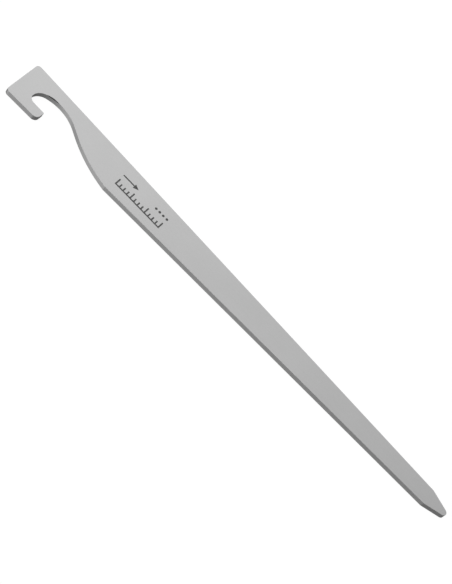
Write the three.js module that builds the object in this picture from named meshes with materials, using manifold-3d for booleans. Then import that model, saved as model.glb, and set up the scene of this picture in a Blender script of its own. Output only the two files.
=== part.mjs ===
// A flat hook tent stake cut from one sheet of titanium: a tapering blade with a square head, a hook that
// opens towards one long edge, and a rounded point. Dimensions are in millimetres. The stake lies flat with
// its marked face up: +X runs to the point, +Y to the straight back edge and +Z out of the marked face. The
// origin is under the middle of the stake's outer box.

import * as THREE from "three";
import { mergeVertices } from "three/addons/utils/BufferGeometryUtils.js";
import Module from "manifold-3d";

// Blade
const LENGTH = 300;
const THICKNESS = 3;
const HEAD_WIDTH = 25.8;
const SHOULDER_WIDTH = 10.4; // where the taper ends and the point begins
const POINT_LENGTH = 12.2;
const CORNER_RADIUS = 2; // both head corners
const NOSE_RADIUS = 2; // the point ends in a full round

// Hook. Distances along the stake are measured from the head end.
const TONGUE_END = 20.95;
const TONGUE_INNER_Y = -6.38; // the tongue's inner edge runs parallel to the stake
const TONGUE_OUTER_RADIUS = 3;
const TONGUE_INNER_RADIUS = 0.5;

// The cut-out behind the tongue starts where the tongue's inner edge meets the round end of the slot. It is
// walked as three arcs that turn right, a short straight, and a last arc that turns left until it meets the
// blade's lower edge.
const SLOT_START = 13.55;
const RIGHT_TURNS = [
  { radius: 3.1, degrees: 94.3 }, // end of the slot
  { radius: 7.3, degrees: 64.6 }, // throat
  { radius: 23.5, degrees: 52.1 }, // back of the hook, down to the neck
];
const NECK_STRAIGHT = 4;
const BELLY_RADIUS = 80;

// The throat's edge is eased on the marked face, where the line bears: a 90 degree countersink that only
// just reaches into the plate, so that it leaves a crescent.
const EASE_RADIUS = 11; // of the countersink, at the marked face
const EASE_FROM_HEAD = 20.7;
const EASE_Y = -6.05;
const EASE_DEPTH = 1;
const EASE_OVERRUN = 0.5; // how far the cutter stands above the face
const EASE_LOWEST_Y = 1.5; // the cutter is kept above this, so that it stays clear of the tongue
const EASE_DIVISIONS = 180;

const ARC_DIVISIONS = 12;
const SAME_POINT = 1e-6;

const headX = -LENGTH / 2;
const noseX = LENGTH / 2;
const shoulderX = noseX - POINT_LENGTH;
const taper = Math.atan2((HEAD_WIDTH - SHOULDER_WIDTH) / 2, shoulderX - headX);
const lowerEdgeY = (x) => -HEAD_WIDTH / 2 + Math.tan(taper) * (x - headX);

const titanium = new THREE.MeshStandardMaterial({ color: 0xb6b6b8, roughness: 0.45, metalness: 1 });

// Draws a straight to a corner and rounds it towards the next point. The path turns left there.
function roundCorner(path, cornerX, cornerY, nextX, nextY, radius) {
  const corner = new THREE.Vector2(cornerX, cornerY);
  const back = path.currentPoint.clone().sub(corner).normalize();
  const onward = new THREE.Vector2(nextX, nextY).sub(corner).normalize();
  const halfAngle = back.angleTo(onward) / 2;
  const centre = back.clone().add(onward).setLength(radius / Math.sin(halfAngle)).add(corner);
  const tangent = radius / Math.tan(halfAngle);
  const start = back.multiplyScalar(tangent).add(corner);
  const end = onward.multiplyScalar(tangent).add(corner);
  path.lineTo(start.x, start.y);
  path.absarc(centre.x, centre.y, radius, start.sub(centre).angle(), end.sub(centre).angle(), false);
}

// Walks the cut-out's edge from the slot to the blade's lower edge.
function drawCutOut(path) {
  let heading = Math.PI;
  path.lineTo(headX + SLOT_START, TONGUE_INNER_Y);
  for (const { radius, degrees } of RIGHT_TURNS) {
    const { x, y } = path.currentPoint;
    const from = heading + Math.PI / 2;
    heading -= THREE.MathUtils.degToRad(degrees);
    const to = heading + Math.PI / 2;
    path.absarc(x - radius * Math.cos(from), y - radius * Math.sin(from), radius, from, to, true);
  }
  const { x, y } = path.currentPoint;
  const neckX = x + NECK_STRAIGHT * Math.cos(heading);
  const neckY = y + NECK_STRAIGHT * Math.sin(heading);
  const centreX = neckX - BELLY_RADIUS * Math.sin(heading);
  const centreY = neckY + BELLY_RADIUS * Math.cos(heading);
  const toEdge = (centreY - lowerEdgeY(centreX)) * Math.cos(taper);
  const meetsEdge = taper - Math.PI / 2 - Math.acos(toEdge / BELLY_RADIUS);
  path.absarc(centreX, centreY, BELLY_RADIUS, heading - Math.PI / 2, meetsEdge, false);
}

// The round nose, tangent to the two straight sides of the point.
function drawNose(path) {
  const toShoulder = new THREE.Vector2(noseX - NOSE_RADIUS - shoulderX, SHOULDER_WIDTH / 2);
  const pointAngle = toShoulder.angle() - Math.asin(NOSE_RADIUS / toShoulder.length());
  const from = pointAngle - Math.PI / 2;
  path.absarc(noseX - NOSE_RADIUS, 0, NOSE_RADIUS, from, -from, false);
}

// The whole outline, drawn counter-clockwise from the upper shoulder.
function stakeOutline() {
  const path = new THREE.Path();
  const top = HEAD_WIDTH / 2;
  const tongueX = headX + TONGUE_END;
  path.moveTo(shoulderX, SHOULDER_WIDTH / 2);
  roundCorner(path, headX, top, headX, -top, CORNER_RADIUS);
  roundCorner(path, headX, -top, tongueX, lowerEdgeY(tongueX), CORNER_RADIUS);
  roundCorner(path, tongueX, lowerEdgeY(tongueX), tongueX, TONGUE_INNER_Y, TONGUE_OUTER_RADIUS);
  roundCorner(path, tongueX, TONGUE_INNER_Y, headX, TONGUE_INNER_Y, TONGUE_INNER_RADIUS);
  drawCutOut(path);
  path.lineTo(shoulderX, lowerEdgeY(shoulderX));
  drawNose(path);
  const points = path.getPoints(ARC_DIVISIONS);
  return new THREE.Shape(points.filter((point, i) => point.distanceTo(points.at(i - 1)) > SAME_POINT));
}

// The countersink, cut off at its lowest side.
function easingCutter(wasm) {
  const height = EASE_DEPTH + EASE_OVERRUN;
  const upperRadius = EASE_RADIUS + EASE_OVERRUN;
  const lowerRadius = EASE_RADIUS - EASE_DEPTH;
  const cone = new THREE.CylinderGeometry(upperRadius, lowerRadius, height, EASE_DIVISIONS);
  cone.rotateX(Math.PI / 2);
  cone.translate(headX + EASE_FROM_HEAD, EASE_Y, THICKNESS + EASE_OVERRUN - height / 2);
  const reach = 4 * EASE_RADIUS;
  const throatSide = new THREE.BoxGeometry(reach, reach, reach);
  throatSide.translate(headX + EASE_FROM_HEAD, EASE_LOWEST_Y + reach / 2, THICKNESS);
  return toSolid(wasm, cone).intersect(toSolid(wasm, throatSide));
}

function toSolid(wasm, geometry) {
  geometry.deleteAttribute("normal");
  geometry.deleteAttribute("uv");
  const merged = mergeVertices(geometry);
  return new wasm.Manifold(
    new wasm.Mesh({
      numProp: 3,
      vertProperties: new Float32Array(merged.attributes.position.array),
      triVerts: new Uint32Array(merged.index.array),
    }),
  );
}

function toGeometry(solid) {
  const mesh = solid.getMesh();
  const geometry = new THREE.BufferGeometry();
  geometry.setAttribute("position", new THREE.BufferAttribute(mesh.vertProperties, 3));
  geometry.setIndex(new THREE.BufferAttribute(mesh.triVerts, 1));
  geometry.computeVertexNormals();
  return geometry;
}

const wasm = await Module();
wasm.setup();

const plate = new THREE.ExtrudeGeometry(stakeOutline(), { depth: THICKNESS, bevelEnabled: false });
const stake = new THREE.Mesh(toGeometry(toSolid(wasm, plate).subtract(easingCutter(wasm))), titanium);
stake.name = "stake_plate";

const group = new THREE.Group();
group.add(stake);

export default group;
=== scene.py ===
"""A flat titanium tent stake with an open hook, lying on a backlit white table.

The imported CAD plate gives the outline, the thickness and the eased edge of the throat. The plate shown here
is built over that outline with broken edges, and carries plain laser marks: a depth scale, an arrow to the
point and a row of dots. Units are metres, unless a name says otherwise.
"""

import math

import bmesh
import bpy
from mathutils import Matrix, Vector
from mathutils.geometry import intersect_point_line


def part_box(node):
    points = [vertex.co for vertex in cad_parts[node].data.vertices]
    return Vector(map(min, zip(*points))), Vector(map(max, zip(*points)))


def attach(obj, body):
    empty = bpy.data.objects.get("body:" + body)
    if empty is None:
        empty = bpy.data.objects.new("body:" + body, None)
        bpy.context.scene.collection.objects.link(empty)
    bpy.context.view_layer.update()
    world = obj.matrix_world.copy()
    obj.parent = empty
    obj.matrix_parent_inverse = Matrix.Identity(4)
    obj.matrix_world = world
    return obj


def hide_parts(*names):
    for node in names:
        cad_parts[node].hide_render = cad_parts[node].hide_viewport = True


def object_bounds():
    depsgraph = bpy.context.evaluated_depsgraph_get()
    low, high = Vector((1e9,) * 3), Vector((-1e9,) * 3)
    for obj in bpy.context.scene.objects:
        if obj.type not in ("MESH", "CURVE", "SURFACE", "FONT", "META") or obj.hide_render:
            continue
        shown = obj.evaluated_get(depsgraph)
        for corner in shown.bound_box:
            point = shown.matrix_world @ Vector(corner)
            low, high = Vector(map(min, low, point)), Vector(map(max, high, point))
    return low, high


MM = 0.001
NODE = "stake_plate"
SAME_POINT = 0.001 * MM
SAME_RING_POINT = 0.0001 * MM  # two of the plate's rings meet where the easing has no width

# Camera: it aims at a point of the marked face, given from the middle of the stake
AIM_FROM_MIDDLE = (-4.0 * MM, -2.2 * MM)
CAMERA_DISTANCE = 0.978
CAMERA_AZIMUTH = math.radians(0.4)
CAMERA_ELEVATION = math.radians(50.16)
CAMERA_ROLL = math.radians(45.68)
LENS_MM = 122.6
SENSOR_MM = 36
NEAREST_SEEN = 0.01
FURTHEST_SEEN = 100

# Studio: a round white table that sweeps up into a wall, an even glow and soft lights from far away
TABLE_RADIUS = 6.0
SWEEP_RADIUS = 2.0
WALL_HEIGHT = 4.0
SWEEP_STEPS = 8
TABLE_SIDES = 64
TABLE_DROP = 0.05 * MM
TABLE_COLOR = 0.1
TABLE_GLOW = 0.94
ROOM_GLOW = 0.22
# Each soft light: azimuth from +X towards +Y and elevation, both in degrees, then sharpness and strength
SOFT_LIGHTS = {
    "key_behind": (105, 30, 7, 1.25),
    "front_left_low": (235, -35, 8, 0.96),
    "front_right": (320, 15, 12, 0.65),
    "front_left": (240, 30, 12, 1.9),
    "left_high": (160, 45, 12, 1.15),
}

# Plate
EDGE_BREAK = 0.1 * MM  # radius left on every edge by tumbling
BREAK_STEPS = 4  # faces across each edge break, an even number
SHARP_TURN = math.radians(10)  # the outline's arcs turn less than this at a point, its corners more
# The plate's material slots
SATIN = 0
CUT_EDGE = 1
# the throat's easing, whose near-black colour is painted shade
PAINTED_SHADE_EASING = 2

# Laser marks. Starts are measured from the head end, and y from the middle of the stake.
MARK_PROUD = 0.01 * MM
MARK_SUNK = 0.05 * MM
SCALE_START = 70 * MM
SCALE_PITCH = 2.5 * MM
SCALE_BARS = 13
LONG_EVERY = 4
LINE_WIDTH = 0.8 * MM
SCALE_BASE_Y = -5.1 * MM
LONG_BAR = 4.5 * MM
SHORT_BAR = 2.9 * MM
UPPER_ROW_Y = 2.8 * MM
ARROW_START = 69.5 * MM
ARROW_LENGTH = 10.5 * MM
ARROW_HEAD = 3.0 * MM
ARROW_SHAFT_WIDTH = 0.8 * MM
DOT_START = 92.5 * MM
DOT_PITCH = 2.5 * MM
DOT_COUNT = 4
DOT_RADIUS = 0.75 * MM
DOT_SIDES = 24

# Materials: a noise's values mostly lie between these two
NOISE_LOW = 0.3
NOISE_HIGH = 0.7


def new_mesh_object(name, bm):
    mesh = bpy.data.meshes.new(name)
    bm.to_mesh(mesh)
    bm.free()
    piece = bpy.data.objects.new(name, mesh)
    bpy.context.scene.collection.objects.link(piece)
    return piece


# ---------------------------------------------------------------- outline from the CAD plate


def face_outline(node, height):
    """The outline of the CAD plate's flat face at that height, in order, as 2-D points."""
    bm = bmesh.new()
    bm.from_mesh(node.data)
    bmesh.ops.remove_doubles(bm, verts=bm.verts, dist=SAME_POINT)

    def lies_flat(face):
        return all(abs(v.co.z - height) < SAME_POINT for v in face.verts)

    onward = {}
    for face in filter(lies_flat, bm.faces):
        for loop in face.loops:
            if not all(lies_flat(f) for f in loop.edge.link_faces):
                onward[loop.vert] = loop.link_loop_next.vert
    start = next(iter(onward))
    points = [start.co.to_2d()]
    vert = onward[start]
    while vert is not start:
        points.append(vert.co.to_2d())
        vert = onward[vert]
    bm.free()
    return points


def signed_area(points):
    pairs = zip(points, points[1:] + points[:1])
    return sum(a.x * b.y - b.x * a.y for a, b in pairs) / 2


def corners(points):
    """Each point of a closed outline, with the directions of the sides before and after it."""
    for before, point, after in zip(points[-1:] + points, points, points[1:] + points[:1]):
        yield point, (point - before).normalized(), (after - point).normalized()


def inward_direction(arriving, leaving):
    """The way into a counter-clockwise outline at one of its points, as long as a mitre needs."""
    left = arriving.orthogonal()
    middle = (left + leaving.orthogonal()).normalized()
    return middle / middle.dot(left)


def distance_to_outline(point, points):
    shortest = math.inf
    for a, b in zip(points, points[1:] + points[:1]):
        _, share = intersect_point_line(point, a, b)
        nearest = a.lerp(b, min(max(share, 0), 1))
        shortest = min(shortest, (point - nearest).length)
    return shortest


# ---------------------------------------------------------------- plate


def edge_profile(thickness, ease):
    """The plate's side at one point of its outline: how far in and how high each ring of points lies.

    The rings run from the back face to the marked one. ease is the width of the 45 degree easing between its
    own two edge breaks, and it is nought away from the throat.
    """
    turns = [math.pi / 2 * i / BREAK_STEPS for i in range(BREAK_STEPS + 1)]
    rounded = [(EDGE_BREAK * (1 - math.cos(t)), EDGE_BREAK * math.sin(t)) for t in turns]
    half = BREAK_STEPS // 2
    top = thickness - EDGE_BREAK
    profile = [(inset, EDGE_BREAK - rise) for inset, rise in reversed(rounded)]
    profile += [(inset, top - ease + rise) for inset, rise in rounded[: half + 1]]
    profile += [(ease + inset, top + rise) for inset, rise in rounded[half:]]
    return profile


def side_materials():
    """The material slot of each strip of faces between two rings, in the same order as the rings."""
    half = BREAK_STEPS // 2
    return [SATIN] * BREAK_STEPS + [CUT_EDGE] + [SATIN] * half + [PAINTED_SHADE_EASING] + [SATIN] * half


def build_plate(node):
    """The plate over the CAD plate's outline, with its edges broken and the throat's edge eased."""
    low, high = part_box(NODE)
    outline = face_outline(node, low.z)
    marked_outline = face_outline(node, high.z)
    if signed_area(outline) < 0:
        outline.reverse()
    taken_by_breaks = EDGE_BREAK * (2 - math.sqrt(2))  # of the easing's width
    bm = bmesh.new()
    rings = []
    for point, arriving, leaving in corners(outline):
        inward = inward_direction(arriving, leaving)
        ease = max(0.0, distance_to_outline(point, marked_outline) - taken_by_breaks)
        profile = edge_profile(high.z - low.z, ease)
        ring = [bm.verts.new((*(point + inward * inset), low.z + height)) for inset, height in profile]
        if arriving.angle(leaving) > SHARP_TURN:
            for a, b in zip(ring, ring[1:]):
                bm.edges.new((a, b)).smooth = False
        rings.append(ring)
    for ring, following in zip(rings, rings[1:] + rings[:1]):
        for i, slot in enumerate(side_materials()):
            face = bm.faces.new((ring[i], following[i], following[i + 1], ring[i + 1]))
            face.material_index = slot
    bm.faces.new([ring[0] for ring in reversed(rings)])
    bm.faces.new([ring[-1] for ring in rings])
    bmesh.ops.remove_doubles(bm, verts=bm.verts, dist=SAME_RING_POINT)
    for face in bm.faces:
        face.smooth = True
    plate = new_mesh_object("stake", bm)
    plate.modifiers.new("flat_faces_stay_flat", "WEIGHTED_NORMAL").keep_sharp = True
    return plate


# ---------------------------------------------------------------- laser marks


def add_mark(bm, outline):
    """A very thin closed solid of a counter-clockwise outline, set into the marked face."""
    _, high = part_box(NODE)
    lower = [bm.verts.new((x, y, high.z - MARK_SUNK)) for x, y in outline]
    upper = [bm.verts.new((x, y, high.z + MARK_PROUD)) for x, y in outline]
    bm.faces.new(list(reversed(lower)))
    bm.faces.new(upper)
    for i in range(len(outline)):
        bm.faces.new((lower[i - 1], lower[i], upper[i], upper[i - 1]))


def build_scale(head_x):
    """A row of bars that stand on a base line, every fourth one long."""
    half = LINE_WIDTH / 2
    foot = SCALE_BASE_Y + LINE_WIDTH
    middles = [head_x + SCALE_START + i * SCALE_PITCH for i in range(SCALE_BARS)]
    outline = [(middles[0] - half, SCALE_BASE_Y), (middles[-1] + half, SCALE_BASE_Y)]
    for i, x in reversed(list(enumerate(middles))):
        top = SCALE_BASE_Y + (SHORT_BAR if i % LONG_EVERY else LONG_BAR)
        outline += [(x + half, foot), (x + half, top), (x - half, top), (x - half, foot)]
    bm = bmesh.new()
    add_mark(bm, outline)
    return new_mesh_object("depth_scale", bm)


def build_arrow(head_x):
    """An arrow along the stake, to the point."""
    start = head_x + ARROW_START
    neck = start + ARROW_LENGTH - ARROW_HEAD
    half_shaft = ARROW_SHAFT_WIDTH / 2
    half_head = ARROW_HEAD / 2
    one_side = [(start, half_shaft), (neck, half_shaft), (neck, half_head)]
    outline = [(x, UPPER_ROW_Y - y) for x, y in one_side]
    outline.append((start + ARROW_LENGTH, UPPER_ROW_Y))
    outline += [(x, UPPER_ROW_Y + y) for x, y in reversed(one_side)]
    bm = bmesh.new()
    add_mark(bm, outline)
    return new_mesh_object("drive_arrow", bm)


def build_dots(head_x):
    """A row of dots past the arrow, on the same line."""
    turns = [2 * math.pi * i / DOT_SIDES for i in range(DOT_SIDES)]
    dot = [(DOT_RADIUS * math.cos(t), DOT_RADIUS * math.sin(t)) for t in turns]
    bm = bmesh.new()
    for i in range(DOT_COUNT):
        middle = head_x + DOT_START + i * DOT_PITCH
        add_mark(bm, [(middle + x, UPPER_ROW_Y + y) for x, y in dot])
    return new_mesh_object("size_dots", bm)


# ---------------------------------------------------------------- materials


def add_node(tree, kind, inputs, **settings):
    """Adds a shader node. An input is a value, or the socket that it is linked to."""
    node = tree.nodes.new(kind)
    for name, value in settings.items():
        setattr(node, name, value)
    for key, value in inputs.items():
        if isinstance(value, bpy.types.NodeSocket):
            tree.links.new(value, node.inputs[key])
        else:
            node.inputs[key].default_value = value
    return node


def add_noise(tree, place, scale, detail, stretch=(1, 1, 1)):
    """A noise of that scale per metre over the object; a larger stretch makes it finer that way."""
    stretched = add_node(tree, "ShaderNodeVectorMath", {0: place, 1: stretch}, operation="MULTIPLY")
    inputs = {"Vector": stretched.outputs["Vector"], "Scale": scale, "Detail": detail}
    return add_node(tree, "ShaderNodeTexNoise", inputs).outputs["Fac"]


def spread(tree, noise, low, high):
    """Turns a noise into values from low to high."""
    inputs = {"Value": noise, "From Min": NOISE_LOW, "From Max": NOISE_HIGH, "To Min": low, "To Max": high}
    return add_node(tree, "ShaderNodeMapRange", inputs).outputs["Result"]


def add_up(tree, first, second):
    return add_node(tree, "ShaderNodeMath", {0: first, 1: second}, operation="ADD").outputs["Value"]


def new_material(name, metallic):
    """A material, with its node tree, its shader and the object's own coordinates."""
    material = bpy.data.materials.new(name)
    material.use_nodes = True
    tree = material.node_tree
    shader = tree.nodes["Principled BSDF"]
    shader.inputs["Metallic"].default_value = metallic
    place = tree.nodes.new("ShaderNodeTexCoord").outputs["Object"]
    return material, tree, shader, place


def set_bump(tree, shader, height, depth):
    bump = add_node(tree, "ShaderNodeBump", {"Height": height, "Distance": depth, "Strength": 1})
    tree.links.new(bump.outputs["Normal"], shader.inputs["Normal"])


def satin_titanium():
    """Tumbled sheet titanium: a fine grain, faint rolling lines along the stake and slow clouds of tone."""
    material, tree, shader, place = new_material("satin_titanium", metallic=1)
    clouds = add_noise(tree, place, scale=35, detail=3)
    grain = add_noise(tree, place, scale=2500, detail=3)
    rolling = add_noise(tree, place, scale=60, detail=3, stretch=(1, 40, 40))
    lines_and_grain = add_up(tree, spread(tree, rolling, 0, 0.02), spread(tree, grain, 0, 0.04))
    tone = add_up(tree, spread(tree, clouds, 0.515, 0.535), lines_and_grain)
    tree.links.new(tone, shader.inputs["Base Color"])
    roughness = add_up(tree, spread(tree, grain, 0.35, 0.41), spread(tree, rolling, 0, 0.04))
    tree.links.new(roughness, shader.inputs["Roughness"])
    height = add_up(tree, spread(tree, grain, 0, 1), spread(tree, rolling, 0, 1))
    set_bump(tree, shader, height, depth=0.004 * MM)
    return material


def cut_edge_titanium():
    """The cut side of the plate: close-set lines across the thickness, left by the cutting beam."""
    material, tree, shader, place = new_material("cut_edge_titanium", metallic=1)
    lines = add_noise(tree, place, scale=1400, detail=3, stretch=(1, 1, 0.08))
    patches = add_noise(tree, place, scale=120, detail=2)
    tone = add_up(tree, spread(tree, lines, 0.43, 0.47), spread(tree, patches, 0, 0.02))
    tree.links.new(tone, shader.inputs["Base Color"])
    roughness = add_up(tree, spread(tree, lines, 0.40, 0.48), spread(tree, patches, 0, 0.03))
    tree.links.new(roughness, shader.inputs["Roughness"])
    set_bump(tree, shader, lines, depth=0.01 * MM)
    return material


def painted_shade_easing():
    """The throat's easing, ground with a coarse wheel. Its near-black colour is painted shade along the
    throat's edge.
    """
    material, tree, shader, place = new_material("painted_shade_easing", metallic=1)
    scratches = add_noise(tree, place, scale=2500, detail=2)
    # painted shade: the easing's base colour is near-black, darker than ground titanium is
    tree.links.new(spread(tree, scratches, 0.05, 0.09), shader.inputs["Base Color"])
    tree.links.new(spread(tree, scratches, 0.44, 0.52), shader.inputs["Roughness"])
    set_bump(tree, shader, scratches, depth=0.005 * MM)
    return material


def laser_mark():
    """The dark skin that a marking laser leaves, slightly uneven."""
    material, tree, shader, place = new_material("laser_mark", metallic=0)
    speckle = add_noise(tree, place, scale=4000, detail=3)
    tree.links.new(spread(tree, speckle, 0.05, 0.09), shader.inputs["Base Color"])
    tree.links.new(spread(tree, speckle, 0.5, 0.62), shader.inputs["Roughness"])
    return material


def white_table():
    material, _, shader, _ = new_material("white_table", metallic=0)
    shader.inputs["Base Color"].default_value = (TABLE_COLOR, TABLE_COLOR, TABLE_COLOR, 1)
    shader.inputs["Roughness"].default_value = 1
    shader.inputs["Emission Color"].default_value = (1, 1, 1, 1)
    shader.inputs["Emission Strength"].default_value = TABLE_GLOW
    return material


# ---------------------------------------------------------------- studio


def build_camera(aim):
    """Looks along +Y at an azimuth of nought, tilts down, and rolls so the stake runs down to the right."""
    turn = (
        Matrix.Rotation(CAMERA_AZIMUTH, 4, "Z")
        @ Matrix.Rotation(math.pi / 2 - CAMERA_ELEVATION, 4, "X")
        @ Matrix.Rotation(CAMERA_ROLL, 4, "Z")
    )
    data = bpy.data.cameras.new("camera")
    data.lens = LENS_MM
    data.sensor_width = SENSOR_MM
    data.clip_start = NEAREST_SEEN
    data.clip_end = FURTHEST_SEEN
    camera = bpy.data.objects.new("camera", data)
    camera.matrix_world = Matrix.Translation(aim) @ turn @ Matrix.Translation((0, 0, CAMERA_DISTANCE))
    bpy.context.scene.collection.objects.link(camera)
    bpy.context.scene.camera = camera


def build_table(height):
    """The table glows, so it shows no shadow. The metal doesn't mirror it, but only the soft lights."""
    turns = [math.pi / 2 * i / SWEEP_STEPS for i in range(SWEEP_STEPS + 1)]
    section = [(0, 0)]
    for t in turns:
        section.append((TABLE_RADIUS + SWEEP_RADIUS * math.sin(t), SWEEP_RADIUS * (1 - math.cos(t))))
    section.append((TABLE_RADIUS + SWEEP_RADIUS, WALL_HEIGHT))
    bm = bmesh.new()
    verts = [bm.verts.new((radius, 0, z)) for radius, z in section]
    edges = [bm.edges.new(pair) for pair in zip(verts, verts[1:])]
    bmesh.ops.spin(
        bm, geom=verts + edges, axis=(0, 0, 1), angle=2 * math.pi, steps=TABLE_SIDES, use_merge=True
    )
    bmesh.ops.remove_doubles(bm, verts=bm.verts, dist=SAME_POINT)
    bmesh.ops.recalc_face_normals(bm, faces=bm.faces)
    table = new_mesh_object("table", bm)
    table.location.z = height
    table.data.materials.append(white_table())
    table.visible_glossy = False
    table.visible_shadow = False


def build_soft_lights():
    """A room with an even glow and soft round lights.

    Each light is brightest at its middle. From there it falls off as e to the power of sharpness * (the
    cosine of the angle from its middle - 1).
    """
    world = bpy.data.worlds.new("studio")
    world.use_nodes = True
    tree = world.node_tree
    direction = tree.nodes.new("ShaderNodeTexCoord").outputs["Generated"]
    total = ROOM_GLOW
    for azimuth, elevation, sharpness, strength in SOFT_LIGHTS.values():
        turn = math.radians(azimuth)
        rise = math.radians(elevation)
        middle = (math.cos(rise) * math.cos(turn), math.cos(rise) * math.sin(turn), math.sin(rise))
        cosine = add_node(tree, "ShaderNodeVectorMath", {0: direction, 1: middle}, operation="DOT_PRODUCT")
        inputs = {0: cosine.outputs["Value"], 1: sharpness, 2: -sharpness}
        power = add_node(tree, "ShaderNodeMath", inputs, operation="MULTIPLY_ADD")
        glow = add_node(tree, "ShaderNodeMath", {0: power.outputs["Value"]}, operation="EXPONENT")
        inputs = {0: glow.outputs["Value"], 1: strength, 2: total}
        total = add_node(tree, "ShaderNodeMath", inputs, operation="MULTIPLY_ADD").outputs["Value"]
    background = tree.nodes["Background"]
    background.inputs["Color"].default_value = (1, 1, 1, 1)
    tree.links.new(total, background.inputs["Strength"])
    bpy.context.scene.world = world


# ---------------------------------------------------------------- scene

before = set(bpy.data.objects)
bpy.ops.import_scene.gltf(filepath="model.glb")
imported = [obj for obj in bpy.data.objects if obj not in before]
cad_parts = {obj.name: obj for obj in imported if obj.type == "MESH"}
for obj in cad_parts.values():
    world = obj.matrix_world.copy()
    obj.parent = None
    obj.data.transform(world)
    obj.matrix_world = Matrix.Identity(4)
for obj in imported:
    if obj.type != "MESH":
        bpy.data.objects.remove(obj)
cad_low, cad_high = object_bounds()

plate = build_plate(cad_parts[NODE])
plate.data.materials.append(satin_titanium())
plate.data.materials.append(cut_edge_titanium())
plate.data.materials.append(painted_shade_easing())
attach(plate, "root")
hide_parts(NODE)

mark_material = laser_mark()
for mark in (build_scale(cad_low.x), build_arrow(cad_low.x), build_dots(cad_low.x)):
    mark.data.materials.append(mark_material)
    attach(mark, "root")

build_camera(Vector((*AIM_FROM_MIDDLE, cad_high.z)))
build_table(cad_low.z - TABLE_DROP)
build_soft_lights()
bpy.context.scene.view_settings.view_transform = "Standard"
